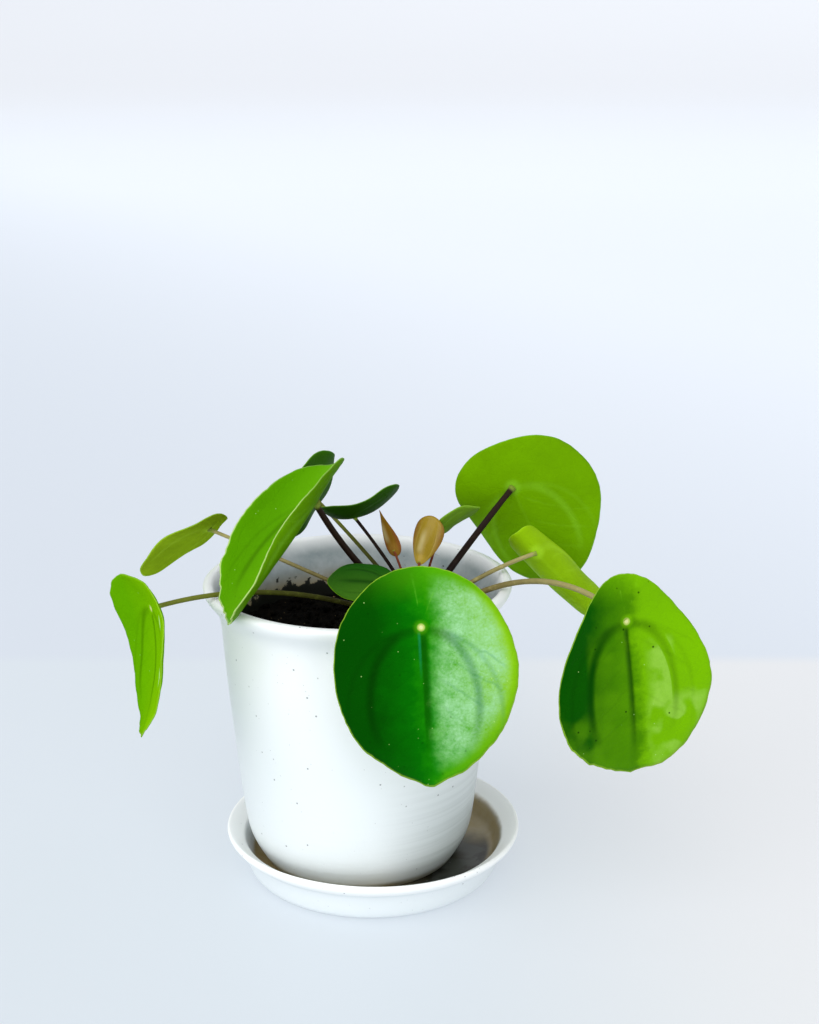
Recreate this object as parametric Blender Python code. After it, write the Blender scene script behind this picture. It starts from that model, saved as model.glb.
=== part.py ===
import bpy
import bmesh
from math import copysign, cos, hypot, pi, radians, sin
from mathutils import Vector

# A potted pancake plant: round leaves, each on its own stalk from one short
# stem, in a flared ceramic pot that stands off centre on a matching saucer.
# Metres, +Z up, origin at the middle of the saucer's underside. The side with
# the large front leaf looks along -Y.

SIDES = 48
GAP = 0.0003

SAUCER_FOOT_RADIUS = 0.044
SAUCER_LIP_RADIUS = 0.0539
SAUCER_LIP_HEIGHT = 0.0155
SAUCER_BAND = 0.0062
SAUCER_RIM_RISE = 0.0007
SAUCER_FRONT_RISE = 0.0013
SAUCER_FLOOR = 0.005
SAUCER_WELL_RADIUS = 0.0425

POT_CENTRE = Vector((-0.005, 0.001, 0.0))
POT_HEIGHT = 0.110
POT_LIP_RADIUS = 0.055
POT_NECK_RADIUS = 0.0487
POT_MIDDLE_RADIUS = 0.0459
POT_LOW_RADIUS = 0.0420
POT_FOOT_RADIUS = 0.0345
POT_WALL = 0.0032
POT_FLOOR_THICKNESS = 0.006
DRAIN_RADIUS = 0.006

SOIL_LEVEL = 0.0895
SOIL_RINGS = 5

CROWN = Vector((0.016, 0.003, 0.0))
STEM_TOP = 0.1045
STEM_BOTTOM = 0.060
STEM_RADIUS = 0.0042
STEM_SIDES = 12

BLADE_THICKNESS = 0.0008
BLADE_RINGS = 5
BLADE_SIDES = 22
SMALL_BLADE_RINGS = 4
SMALL_BLADE_SIDES = 14
STALK_POINTS = 9
STALK_SEAT = 0.0004
STALK_TAPER = 0.85

# Each leaf is a blade with a stalk that meets it from below, inside its edge.
# at: where the stalk meets the blade. tip, face: where the blade's tip and its
# upper side point. seat: how far along the blade the stalk sits, as a share.
# egg: above 0 narrows the tip end, below 0 the other. skew: makes one half
# wider. cup: how far the blade rolls up across, in degrees, curl: along its
# length towards the tip, base_curl: along the other end. fold: slope of its
# two halves from the midrib. blunt: below 1 fills out both ends. point: how far
# the tip stands out. twist: turns one end against the other. rise, through,
# thick: height where the stalk leaves the stem, a point on its way, its radius.
LEAVES = {
    "front": dict(
        at=(0.017, -0.074, 0.119), tip=(0.05, -0.15, -1), face=(-0.05, -1, 0.2),
        length=0.069, width=0.058, seat=0.28, egg=0.0, skew=0.02, cup=-26, curl=-20,
        wave=0.0006, rise=0.0925, through=(0.017, -0.040, 0.115), thick=0.0012,
    ),
    "right": dict(
        at=(0.085, -0.044, 0.110), tip=(0.13, -0.15, -1), face=(0.35, -1, 0.2),
        length=0.067, width=0.054, seat=0.24, egg=-0.31, skew=0.05, cup=-10, curl=-20,
        wave=0.0010, rise=0.0925, through=(0.055, -0.019, 0.1155), thick=0.0011,
    ),
    "back_right": dict(
        at=(0.0517, 0.0358, 0.1337), tip=(0.41, -0.04, -0.89), face=(0.01, 0.96, 0.26),
        length=0.0598, width=0.0526, seat=0.29, egg=0.21, skew=-0.13, cup=58, curl=14, base_curl=7,
        blunt=0.88, point=0, twist=0.31,
        wave=0.0012, rise=0.098, through=(0.036, 0.020, 0.118), thick=0.0013,
    ),
    "middle_right": dict(
        at=(0.0588, 0.0091, 0.1169), tip=(0.64, 0.18, -0.72), face=(0.28, 0.9, -0.31),
        length=0.0477, width=0.0341, seat=0.22, egg=-0.3, skew=0.3, cup=147, curl=8, base_curl=9,
        fold=0.5, blunt=0.76, point=0,
        wave=0.0006, rise=0.0965, through=(0.039, 0.005, 0.109), thick=0.0009,
    ),
    "left": dict(
        at=(-0.0190, -0.0168, 0.1431), tip=(-0.489, -0.515, -0.728), face=(-0.873, -0.448, -0.043),
        length=0.0690, width=0.0379, seat=0.262, egg=0.0, skew=-0.235, cup=160, curl=7.8, base_curl=-52,
        blunt=0.93, point=0,
        wave=0.0010, rise=0.0970, through=(-0.005, -0.008, 0.119), thick=0.0013,
    ),
    "far_left": dict(
        at=(-0.0618, 0.0349, 0.1182), tip=(-0.8, 0.08, -0.6), face=(-0.39, 0.41, 0.83),
        length=0.038, width=0.0365, seat=0.21, egg=-0.10, skew=-0.11, cup=15, curl=-6, base_curl=-10,
        blunt=1.15, point=0.05,
        wave=0.0006, rise=0.0945, through=(-0.025, 0.015, 0.1085), thick=0.0008,
    ),
    "low_left": dict(
        at=(-0.0741, -0.0290, 0.1092), tip=(0.195, -0.037, -0.973), face=(-0.90, -0.427, 0.137),
        length=0.0570, width=0.0515, seat=0.213, egg=0.38, skew=-0.04, cup=26.7, curl=43, base_curl=56,
        blunt=0.565, point=0, twist=0.28,
        wave=0.0006, rise=0.0925, through=(-0.031, -0.014, 0.1095), thick=0.0010,
    ),
    "back_left": dict(
        at=(-0.0235, 0.036, 0.1312), tip=(-0.35, 0.1, -0.9), face=(-0.7, 0.5, 0.4),
        length=0.036, width=0.029, seat=0.5, egg=0.0, skew=0.0, cup=20, curl=0,
        wave=0.0006, rise=0.0980, through=(-0.006, 0.025, 0.1155), thick=0.0008,
    ),
    "back": dict(
        at=(-0.0064, 0.0124, 0.1295), tip=(0.98, 0.15, 0.17), face=(0.45, 0.42, 0.8),
        length=0.0328, width=0.0289, seat=0.40, egg=-0.23, skew=0.0, cup=26, curl=64, base_curl=109,
        blunt=0.61, point=0,
        wave=0.0004, rise=0.1015, through=(0.004, 0.011, 0.115), thick=0.0007,
    ),
    "small": dict(
        at=(0.005, -0.018, 0.1142), tip=(-0.95, -0.1, 0.15), face=(0.0, -0.6, 0.8),
        length=0.024, width=0.016, seat=0.2, egg=0.0, skew=0.0, cup=-20, curl=-20,
        wave=0.0003, rise=0.1005, through=(0.009, -0.010, 0.1092), thick=0.0007,
        small=True,
    ),
    "bronze": dict(
        at=(0.017, 0.001, 0.116), tip=(0.25, 0.1, 0.95), face=(0.3, 0.9, 0),
        length=0.0175, width=0.0112, seat=0.06, egg=-0.45, skew=0.0, cup=80, curl=10,
        wave=0.0, rise=0.1035, through=(0.0165, -0.001, 0.111), thick=0.0006,
        small=True,
    ),
    "young": dict(
        at=(0.024, 0.009, 0.124), tip=(0.85, 0.1, 0.75), face=(-0.3, 0.5, 0.7),
        length=0.018, width=0.0150, seat=0.06, egg=0.0, skew=0.0, cup=40, curl=-20,
        wave=0.0003, rise=0.1035, through=(0.021, 0.007, 0.114), thick=0.0005,
        small=True,
    ),
    "bud": dict(
        at=(0.008, 0.006, 0.119), tip=(-0.35, 0.1, 0.93), face=(0.4, 0.9, 0),
        length=0.0172, width=0.0048, seat=0.15, egg=0.85, skew=0.0, cup=30, curl=0,
        wave=0.0, rise=0.1035, through=(0.0105, 0.004, 0.112), thick=0.0005,
        small=True,
    ),
}


def clear_scene():
    for obj in list(bpy.data.objects):
        bpy.data.objects.remove(obj, do_unlink=True)


def material(name, colour, roughness):
    made = bpy.data.materials.new(name)
    made.use_nodes = True
    shader = made.node_tree.nodes["Principled BSDF"]
    shader.inputs["Base Color"].default_value = (*colour, 1)
    shader.inputs["Roughness"].default_value = roughness
    shader.inputs["Metallic"].default_value = 0.0
    return made


def place(name, mesh, finish, smooth_angle=40):
    obj = bpy.data.objects.new(name, mesh)
    bpy.context.scene.collection.objects.link(obj)
    mesh.materials.append(finish)
    mesh.shade_smooth()
    mesh.set_sharp_from_angle(angle=radians(smooth_angle))
    return obj


def turned(name, profile, centre, finish, sides=SIDES, closed=False):
    """A profile of (radius, height) points turned round an upright axis."""
    bm = bmesh.new()
    verts = [bm.verts.new((radius, 0, height)) for radius, height in profile]
    for a, b in zip(verts, verts[1:]):
        bm.edges.new((a, b))
    if closed:
        bm.edges.new((verts[-1], verts[0]))
    mesh = bpy.data.meshes.new(name)
    bm.to_mesh(mesh)
    bm.free()
    obj = place(name, mesh, finish)
    obj.location = centre
    screw = obj.modifiers.new("turn", "SCREW")
    screw.steps = sides
    screw.render_steps = sides
    screw.use_merge_vertices = True
    screw.merge_threshold = 0.00001
    screw.use_smooth_shade = True
    return obj


def rim_rise(point):
    """How much higher the hand-thrown rim stands at a point, most at the front left."""
    out = max(hypot(point.x, point.y), 0.001)
    front = max(0.0, (-0.4 * point.x - 0.92 * point.y) / out)
    share = max(0.0, (point.z - SAUCER_FLOOR) / (SAUCER_LIP_HEIGHT - SAUCER_FLOOR))
    return share * (SAUCER_RIM_RISE + SAUCER_FRONT_RISE * front ** 2)


def saucer(finish):
    """A shallow dish whose flat band slopes in from its lip to a crease."""
    lip, height = SAUCER_LIP_RADIUS, SAUCER_LIP_HEIGHT
    crease = lip - SAUCER_BAND
    profile = [
        (0, SAUCER_FLOOR),
        (SAUCER_WELL_RADIUS, SAUCER_FLOOR),
        (crease - 0.0028, SAUCER_FLOOR + 0.0014),
        (crease - 0.0006, height - 0.0042),
        (crease, height - 0.0032),
        (lip - 0.0014, height),
        (lip - 0.0004, height - 0.0001),
        (lip, height - 0.0012),
        (lip - 0.0012, height - 0.0030),
        (lip - 0.0045, height - 0.0050),
        (SAUCER_FOOT_RADIUS + 0.0022, 0.0022),
        (SAUCER_FOOT_RADIUS, 0),
        (0, 0),
    ]
    dish = turned("saucer", profile, (0, 0, 0), finish)
    for vert in dish.data.vertices:
        vert.co.z += rim_rise(vert.co)
    return dish


def pot_wall():
    """Outer radii of the pot by height, from the lip down to the foot."""
    foot = SAUCER_FLOOR + GAP
    return [
        (POT_LIP_RADIUS - 0.0020, POT_HEIGHT),
        (POT_LIP_RADIUS - 0.0004, POT_HEIGHT - 0.0006),
        (POT_LIP_RADIUS, POT_HEIGHT - 0.0018),
        (POT_LIP_RADIUS - 0.0010, POT_HEIGHT - 0.0042),
        (POT_LIP_RADIUS - 0.0036, POT_HEIGHT - 0.0072),
        (POT_NECK_RADIUS + 0.0010, POT_HEIGHT - 0.0105),
        (POT_NECK_RADIUS, POT_HEIGHT - 0.0150),
        (POT_NECK_RADIUS - 0.0009, 0.080),
        (POT_MIDDLE_RADIUS, 0.060),
        (POT_MIDDLE_RADIUS - 0.0015, 0.045),
        (POT_LOW_RADIUS + 0.0008, 0.030),
        (POT_LOW_RADIUS - 0.0005, 0.019),
        (POT_LOW_RADIUS - 0.0030, 0.0125),
        (POT_FOOT_RADIUS + 0.0015, foot + 0.0018),
        (POT_FOOT_RADIUS, foot),
    ]


def inner_radius(height):
    """Radius of the pot's inside at a height."""
    wall = pot_wall()[5:]
    for (top_radius, top), (low_radius, low) in zip(wall, wall[1:]):
        if low <= height <= top:
            share = (height - low) / (top - low)
            return low_radius + share * (top_radius - low_radius) - POT_WALL
    return wall[0][0] - POT_WALL


def pot_floor():
    return SAUCER_FLOOR + GAP + POT_FLOOR_THICKNESS


def pot(finish):
    """A flared pot with a drain hole in its floor."""
    foot = SAUCER_FLOOR + GAP
    floor = pot_floor()
    inside = [(inner_radius(h), h) for h in (0.016, 0.030, 0.060, 0.085)]
    profile = pot_wall() + [
        (DRAIN_RADIUS, foot),
        (DRAIN_RADIUS, floor),
        (inner_radius(0.016) - 0.0045, floor),
        *inside,
        (POT_NECK_RADIUS - POT_WALL + 0.0008, POT_HEIGHT - 0.0120),
        (POT_LIP_RADIUS - 0.0052, POT_HEIGHT - 0.0035),
        (POT_LIP_RADIUS - 0.0036, POT_HEIGHT - 0.0006),
    ]
    return turned("pot", profile, POT_CENTRE, finish, closed=True)


def ground(x, y):
    """Height of the soil, lumpy and a little higher round the stem."""
    to_stem = hypot(x - CROWN.x, y - CROWN.y)
    lumps = sin(x * 260) * sin(y * 230 + 1.0) + 0.5 * sin(x * 610 + y * 480)
    return SOIL_LEVEL + 0.0007 * lumps + 0.0016 * max(0.0, 1 - to_stem / 0.03)


def soil(finish):
    """The pot's filling, with a plain hole for the stem."""
    bottom = pot_floor() + GAP
    low_edge = bottom + 0.0050
    edge = inner_radius(SOIL_LEVEL) - 2 * GAP
    levels = [(edge * step / SOIL_RINGS, None) for step in range(1, SOIL_RINGS + 1)]
    for height in (SOIL_LEVEL - 0.004, 0.060, 0.030, low_edge):
        levels.append((inner_radius(height) - 2 * GAP, height))
    levels.append((inner_radius(low_edge) - 0.006, bottom))
    bm = bmesh.new()
    rings = []
    for reach, height in levels:
        ring = []
        for step in range(SIDES):
            turn = 2 * pi * step / SIDES
            x = POT_CENTRE.x + reach * cos(turn)
            y = POT_CENTRE.y + reach * sin(turn)
            ring.append(bm.verts.new((x, y, ground(x, y) if height is None else height)))
        rings.append(ring)
    top = bm.verts.new((POT_CENTRE.x, POT_CENTRE.y, ground(POT_CENTRE.x, POT_CENTRE.y)))
    low = bm.verts.new((POT_CENTRE.x, POT_CENTRE.y, bottom))
    for step in range(SIDES):
        after = (step + 1) % SIDES
        bm.faces.new((top, rings[0][step], rings[0][after]))
        bm.faces.new((low, rings[-1][after], rings[-1][step]))
        for upper, lower in zip(rings, rings[1:]):
            bm.faces.new((upper[step], lower[step], lower[after], upper[after]))
    bmesh.ops.triangulate(bm, faces=bm.faces)
    mesh = bpy.data.meshes.new("soil")
    bm.to_mesh(mesh)
    bm.free()
    obj = place("soil", mesh, finish)
    cut = obj.modifiers.new("stem hole", "BOOLEAN")
    cut.operation = "DIFFERENCE"
    cut.solver = "EXACT"
    cut.object = stem_hole()
    return obj


def stem_hole():
    """The cutter for the stem's hole, from just below the stem to well above the soil."""
    radius = STEM_RADIUS + GAP
    low = STEM_BOTTOM - GAP
    depth = STEM_TOP - low
    bm = bmesh.new()
    bmesh.ops.create_cone(
        bm, cap_ends=True, segments=STEM_SIDES, radius1=radius, radius2=radius, depth=depth
    )
    bmesh.ops.translate(bm, verts=bm.verts, vec=(0, 0, low + depth / 2))
    mesh = bpy.data.meshes.new("stem hole")
    bm.to_mesh(mesh)
    bm.free()
    obj = bpy.data.objects.new("stem hole", mesh)
    bpy.context.scene.collection.objects.link(obj)
    obj.location = CROWN
    obj.hide_render = True
    obj.display_type = "WIRE"
    return obj


def stem_radius(height):
    """The stem narrows above the soil towards its growing point."""
    if height <= SOIL_LEVEL:
        return STEM_RADIUS
    share = (height - SOIL_LEVEL) / (STEM_TOP - SOIL_LEVEL)
    return STEM_RADIUS * (1 - 0.35 * share)


def stem(finish):
    """The short upright stem that every stalk grows from."""
    heights = [STEM_TOP - 0.0008, 0.101, 0.0975, 0.094, SOIL_LEVEL, 0.075]
    profile = [(0, STEM_TOP)]
    profile += [(stem_radius(h) * (0.8 if h > 0.103 else 1), h) for h in heights]
    profile += [(STEM_RADIUS, STEM_BOTTOM), (0, STEM_BOTTOM)]
    return turned("stem", profile, CROWN, finish, sides=STEM_SIDES)


def axes(leaf):
    """Unit vectors along the blade's tip, across it and out of its upper side."""
    tip = Vector(leaf["tip"]).normalized()
    face = Vector(leaf["face"])
    face = (face - face.dot(tip) * tip).normalized()
    return tip, face.cross(tip), face


def rolled(along, height, degrees, span):
    """Where a point at this distance and height lies once the span is bent."""
    if not degrees:
        return along, height
    rate = radians(degrees) / span
    turn = along * rate
    return sin(turn) * (1 / rate - height), 1 / rate - cos(turn) * (1 / rate - height)


def blade_point(leaf, share, turn):
    """A point of the blade at a share of the way from the stalk to the edge; turn 0 is the tip."""
    length, width = leaf["length"], leaf["width"]
    point = leaf.get("point", 0.03) * max(0.0, cos(turn)) ** 12
    along = length * (0.5 - leaf["seat"] + 0.5 * cos(turn) + point)
    full = copysign(abs(sin(turn)) ** leaf.get("blunt", 1.0), sin(turn))
    across = width / 2 * (full + leaf["skew"] * sin(turn) ** 2)
    across *= 1 - leaf["egg"] * cos(turn)
    along, across = along * share, across * share
    height = leaf["wave"] * share ** 3 * sin(5 * turn)
    height += 0.025 * width * share * (1 - (1 - share) ** 2)
    height += leaf.get("fold", 0.0) * (hypot(across, 0.002) - 0.002)
    height += leaf.get("twist", 0.0) * across * along / length
    across, height = rolled(across, height, leaf["cup"], width)
    curl = leaf["curl"] if along >= 0 else leaf.get("base_curl", leaf["curl"])
    along, height = rolled(along, height, curl, length)
    tip, side, face = axes(leaf)
    return Vector(leaf["at"]) + along * tip + across * side + height * face


def blade(name, leaf, finish):
    """A thin wavy blade: rings of triangles round the stalk's seat, given a thickness."""
    small = leaf.get("small", False)
    ring_count = SMALL_BLADE_RINGS if small else BLADE_RINGS
    sides = SMALL_BLADE_SIDES if small else BLADE_SIDES
    bm = bmesh.new()
    seat = bm.verts.new(leaf["at"])
    rings = []
    for step in range(1, ring_count + 1):
        turns = [2 * pi * side / sides for side in range(sides)]
        rings.append([bm.verts.new(blade_point(leaf, step / ring_count, t)) for t in turns])
    for side in range(sides):
        after = (side + 1) % sides
        bm.faces.new((seat, rings[0][side], rings[0][after]))
        for inner, outer in zip(rings, rings[1:]):
            bm.faces.new((inner[side], outer[side], outer[after]))
            bm.faces.new((inner[side], outer[after], inner[after]))
    mesh = bpy.data.meshes.new(name)
    bm.to_mesh(mesh)
    bm.free()
    obj = place(name, mesh, finish, smooth_angle=60)
    thicken = obj.modifiers.new("thickness", "SOLIDIFY")
    thicken.thickness = BLADE_THICKNESS
    thicken.offset = 0.0
    return obj


def stalk_path(leaf):
    """Points from beside the stem, through the leaf's named point, to just under its blade."""
    through = Vector(leaf["through"])
    thick = leaf["thick"]
    _, _, face = axes(leaf)
    root = CROWN + Vector((0, 0, leaf["rise"]))
    out = through - root
    outward = Vector((out.x, out.y, 0)).normalized()
    lean = out.z / out.length
    start = root + outward * (stem_radius(leaf["rise"]) + STALK_SEAT + thick * max(0.0, lean))
    seat = Vector(leaf["at"])
    arrive = (seat - through).normalized()
    tilt = max(0.0, 1 - arrive.dot(face) ** 2) ** 0.5
    end = seat - face * (BLADE_THICKNESS / 2 + STALK_SEAT + thick * STALK_TAPER * tilt)
    bow = 2 * through - (start + end) / 2
    points = []
    for step in range(STALK_POINTS):
        t = step / (STALK_POINTS - 1)
        points.append((1 - t) ** 2 * start + 2 * t * (1 - t) * bow + t ** 2 * end)
    return points


def stalk(name, leaf, finish):
    """A round stalk, a little thinner at the blade."""
    points = stalk_path(leaf)
    curve = bpy.data.curves.new(name, "CURVE")
    curve.dimensions = "3D"
    curve.bevel_depth = leaf["thick"]
    curve.bevel_resolution = 2
    curve.use_fill_caps = True
    spline = curve.splines.new("POLY")
    spline.points.add(len(points) - 1)
    for step, (point, where) in enumerate(zip(spline.points, points)):
        share = step / (len(points) - 1)
        point.co = (*where, 1)
        point.radius = 1 - (1 - STALK_TAPER) * share
    curve.materials.append(finish)
    obj = bpy.data.objects.new(name, curve)
    bpy.context.scene.collection.objects.link(obj)
    return obj


def build():
    clear_scene()
    glaze = material("white speckled glaze", (0.86, 0.87, 0.88), 0.25)
    earth = material("dark soil", (0.018, 0.014, 0.011), 0.95)
    bark = material("stem bark", (0.12, 0.08, 0.04), 0.8)
    green = material("leaf green", (0.10, 0.30, 0.03), 0.35)
    bronze = material("young leaf bronze", (0.30, 0.18, 0.03), 0.4)
    brown = material("stalk brown", (0.10, 0.06, 0.03), 0.5)
    saucer(glaze)
    pot(glaze)
    soil(earth)
    stem(bark)
    for name, leaf in LEAVES.items():
        blade("blade_" + name, leaf, bronze if name in ("bronze", "bud") else green)
        stalk("stalk_" + name, leaf, brown)


build()
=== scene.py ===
import bpy
import random
from math import atan2, copysign, cos, exp, hypot, pi, radians, sin
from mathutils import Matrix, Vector, noise


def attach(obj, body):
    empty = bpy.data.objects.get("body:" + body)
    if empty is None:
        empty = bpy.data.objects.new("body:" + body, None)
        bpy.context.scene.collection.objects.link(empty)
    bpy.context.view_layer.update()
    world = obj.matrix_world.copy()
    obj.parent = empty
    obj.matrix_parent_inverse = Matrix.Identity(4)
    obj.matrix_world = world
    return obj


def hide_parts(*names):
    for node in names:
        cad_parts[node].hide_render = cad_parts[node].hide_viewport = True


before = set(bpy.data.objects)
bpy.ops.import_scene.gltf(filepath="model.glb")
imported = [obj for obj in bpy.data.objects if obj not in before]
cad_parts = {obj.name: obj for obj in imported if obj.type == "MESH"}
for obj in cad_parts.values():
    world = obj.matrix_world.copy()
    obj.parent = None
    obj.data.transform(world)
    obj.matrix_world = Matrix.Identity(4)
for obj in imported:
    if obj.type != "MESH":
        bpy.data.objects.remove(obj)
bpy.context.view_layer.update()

# A pancake plant in a speckled white pot on its saucer.
# Metres, +Z up, the large front leaf looks along -Y.

camera = {
    "place": (0.0134, -0.5682, 0.3016),
    "tilt": 73.63,  # degrees up from straight down
    "lens": 59.33,
}

light = {
    "key": {
        "from": (-0.62, -0.80, 0.66), "strength": 2.35, "colour": (1.0, 0.99, 0.97),
        "softness": 80,  # degrees across
    },
    "window": {
        "place": (0.62, -1.15, 0.42), "aim": (0.02, -0.05, 0.09), "size": (0.55, 0.9), "power": 3.5,
    },
    "room": {"colour": (0.93, 0.96, 1.0), "strength": 0.64},
}


def lookAt(place, aim):
    return (Vector(aim) - Vector(place)).to_track_quat("-Z", "Y").to_euler()


def addCamera():
    bpy.ops.object.camera_add(location=camera["place"], rotation=(radians(camera["tilt"]), 0, 0))
    cam = bpy.context.active_object
    cam.data.lens = camera["lens"]
    cam.data.sensor_width = 36
    bpy.context.scene.camera = cam


def addLights():
    key = light["key"]
    turned = lookAt(key["from"], (0, 0, 0))
    bpy.ops.object.light_add(type="SUN", location=key["from"], rotation=turned)
    sun = bpy.context.active_object.data
    sun.energy = key["strength"]
    sun.angle = radians(key["softness"])
    sun.color = key["colour"]
    window = light["window"]
    turned = lookAt(window["place"], window["aim"])
    bpy.ops.object.light_add(type="AREA", location=window["place"], rotation=turned)
    area = bpy.context.active_object.data
    area.shape = "RECTANGLE"
    area.size, area.size_y = window["size"]
    area.energy = window["power"]
    world = bpy.data.worlds.new("room")
    world.use_nodes = True
    bpy.context.scene.world = world
    room = world.node_tree.nodes["Background"]
    room.inputs["Color"].default_value = (*light["room"]["colour"], 1)
    room.inputs["Strength"].default_value = light["room"]["strength"]
    bpy.context.scene.view_settings.view_transform = "Standard"


# shader maths: a wire is one socket, and sums on wires add Math nodes
class Wire:
    def __init__(self, tree, socket):
        self.tree = tree
        self.socket = socket

    def node(self, kind, inputs, out=0, stops=None, **settings):
        return addNode(self.tree, kind, inputs, out, stops, **settings)

    def maths(self, operation, first, second=None):
        inputs = {0: first} if second is None else {0: first, 1: second}
        return self.node("ShaderNodeMath", inputs, operation=operation)

    def __add__(self, other):
        return self.maths("ADD", self, other)

    __radd__ = __add__

    def __sub__(self, other):
        return self.maths("SUBTRACT", self, other)

    def __rsub__(self, other):
        return self.maths("SUBTRACT", other, self)

    def __mul__(self, other):
        return self.maths("MULTIPLY", self, other)

    __rmul__ = __mul__

    def __truediv__(self, other):
        return self.maths("DIVIDE", self, other)

    def __pow__(self, other):
        return self.maths("POWER", self, other)

    def __gt__(self, other):
        return self.maths("GREATER_THAN", self, other)

    def __lt__(self, other):
        return self.maths("LESS_THAN", self, other)

    def clamp(self):
        return self.node("ShaderNodeClamp", {0: self})

    def ramp(self, low, high):  # 0 at low, 1 at high, smooth between them
        if low < high:
            ends = {"From Min": low, "From Max": high, "To Min": 0.0, "To Max": 1.0}
        else:
            ends = {"From Min": high, "From Max": low, "To Min": 1.0, "To Max": 0.0}
        inputs = {"Value": self, **ends}
        return self.node("ShaderNodeMapRange", inputs, interpolation_type="SMOOTHSTEP")

    def line(self, middle, width):  # 1 on the middle value, 0 beyond the width
        return (self - middle).maths("ABSOLUTE", self - middle).ramp(width, 0.0)


def addNode(tree, kind, inputs, out=0, stops=None, **settings):
    made = tree.nodes.new(kind)
    for name, value in settings.items():
        setattr(made, name, value)
    if stops:
        while len(made.color_ramp.elements) < len(stops):
            made.color_ramp.elements.new(1.0)
        for element, (place, colour) in zip(made.color_ramp.elements, stops):
            element.position = place
            element.color = (*colour, 1)
    for name, value in inputs.items():
        if isinstance(value, Wire):
            tree.links.new(value.socket, made.inputs[name])
        else:
            made.inputs[name].default_value = value
    return Wire(tree, made.outputs[out])


def startEdit(obj):
    bpy.ops.object.select_all(action="DESELECT")
    obj.select_set(True)
    bpy.context.view_layer.objects.active = obj
    bpy.ops.object.mode_set(mode="EDIT")
    bpy.ops.mesh.select_mode(type="VERT")


def endEdit():
    bpy.ops.object.mode_set(mode="OBJECT")


def applyAll(obj):
    bpy.ops.object.select_all(action="DESELECT")
    obj.select_set(True)
    bpy.context.view_layer.objects.active = obj
    for modifier in list(obj.modifiers):
        bpy.ops.object.modifier_apply(modifier=modifier.name)


def smoothed(obj, levels):
    soften = obj.modifiers.new("smooth", "SUBSURF")
    soften.levels = levels
    soften.render_levels = levels
    applyAll(obj)
    obj.data.shade_smooth()


def finished(obj, name, surface, node):
    obj.name = name
    obj.data.name = name
    obj.data.materials.clear()
    obj.data.materials.append(surface)
    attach(obj, "root")
    if node:
        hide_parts(node)


# a round body: one ring of points is extruded through each (radius, height)
def turnedBody(profile, centre, sides, levels, endsOnAxis):
    bpy.ops.object.select_all(action="DESELECT")
    radius, height = profile[0]
    fill = "TRIFAN" if endsOnAxis else "NOTHING"
    bpy.ops.mesh.primitive_circle_add(vertices=sides, radius=radius, fill_type=fill,
                                      location=(0, 0, 0))
    body = bpy.context.active_object
    startEdit(body)
    bpy.ops.mesh.select_all(action="SELECT")
    bpy.ops.transform.translate(value=(0, 0, height))
    if endsOnAxis:
        bpy.ops.mesh.select_all(action="DESELECT")
        bpy.ops.mesh.select_non_manifold()
    for (wasRadius, wasHeight), (radius, height) in zip(profile, profile[1:]):
        bpy.ops.mesh.extrude_edges_move()
        share = radius / wasRadius
        bpy.ops.transform.resize(value=(share, share, 1), center_override=(0, 0, wasHeight))
        bpy.ops.transform.translate(value=(0, 0, height - wasHeight))
    if endsOnAxis:
        bpy.ops.mesh.merge(type="CENTER")
    bpy.ops.mesh.select_all(action="SELECT")
    bpy.ops.mesh.remove_doubles(threshold=0.000002)
    bpy.ops.mesh.normals_make_consistent(inside=False)
    bpy.ops.transform.translate(value=(*centre, 0))
    endEdit()
    smoothed(body, levels)
    return body


# a flat disc of even rings, left in edit mode with its outer edge selected
def ringedDisc(sides, rings, radius):
    bpy.ops.object.select_all(action="DESELECT")
    bpy.ops.mesh.primitive_circle_add(vertices=sides, radius=radius / rings, fill_type="TRIFAN",
                                      location=(0, 0, 0))
    disc = bpy.context.active_object
    startEdit(disc)
    bpy.ops.mesh.select_all(action="DESELECT")
    bpy.ops.mesh.select_non_manifold()
    for ring in range(2, rings + 1):
        bpy.ops.mesh.extrude_edges_move()
        share = ring / (ring - 1)
        bpy.ops.transform.resize(value=(share, share, 1), center_override=(0, 0, 0))
    return disc


def markInside(body, centre):  # 1 where a wall faces the axis, 0 where it faces out
    marks = body.data.attributes.new("inside", "FLOAT", "POINT")
    for vert, mark in zip(body.data.vertices, marks.data):
        out = Vector((vert.co.x - centre[0], vert.co.y - centre[1], 0))
        mark.value = max(0.0, min(1.0, 0.5 - 2 * vert.normal.dot(out.normalized())))


glaze = {
    "bright": (0.88, 0.905, 0.915),
    "shade": (0.78, 0.825, 0.835),
    "band": (0.97, 0.98, 0.97),
    "tan": (0.34, 0.255, 0.10),
    "speck": (0.17, 0.18, 0.19),
    "stainAndShade": (0.16, 0.115, 0.030),
    "well": (0.30, 0.21, 0.060),
    "puddleAndShadow": (0.055, 0.060, 0.052),
    "dirtAndShadow": (0.008, 0.009, 0.006),
    "wallGrey": (0.25, 0.305, 0.320),
    "paintedShadeGrey": (0.30, 0.345, 0.335),
    "speckSize": 0.085,
    "specksPerMetre": 240,
    # heights or radii from where a finish starts to where it is full
    "paintedLightToLip": (0.045, 0.100),
    "bandFrom": (0.0115, 0.0128),
    "dishFloor": (0.0044, 0.0049),
    "dishWall": (0.0412, 0.0407),
    "wellEdge": (0.0470, 0.0452),
    "wetAndShadowEdge": (0.0445, 0.0415),
    "mudDown": (0.1020, 0.0900),
    "greyDown": (0.1100, 0.1040),
    "tideAndShadeDown": (0.0096, 0.0066),
    "paintedShadeDown": (0.068, 0.010),
    "ridgesDown": (0.055, 0.018),
    "bump": 0.00022,
}


def newMaterial(name):
    made = bpy.data.materials.new(name)
    made.use_nodes = True
    return made, made.node_tree, made.node_tree.nodes["Principled BSDF"]


def coordinates(tree):
    return addNode(tree, "ShaderNodeTexCoord", {}, out="Object")


def attribute(tree, name, out):
    return addNode(tree, "ShaderNodeAttribute", {}, out=out, attribute_name=name)


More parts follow.
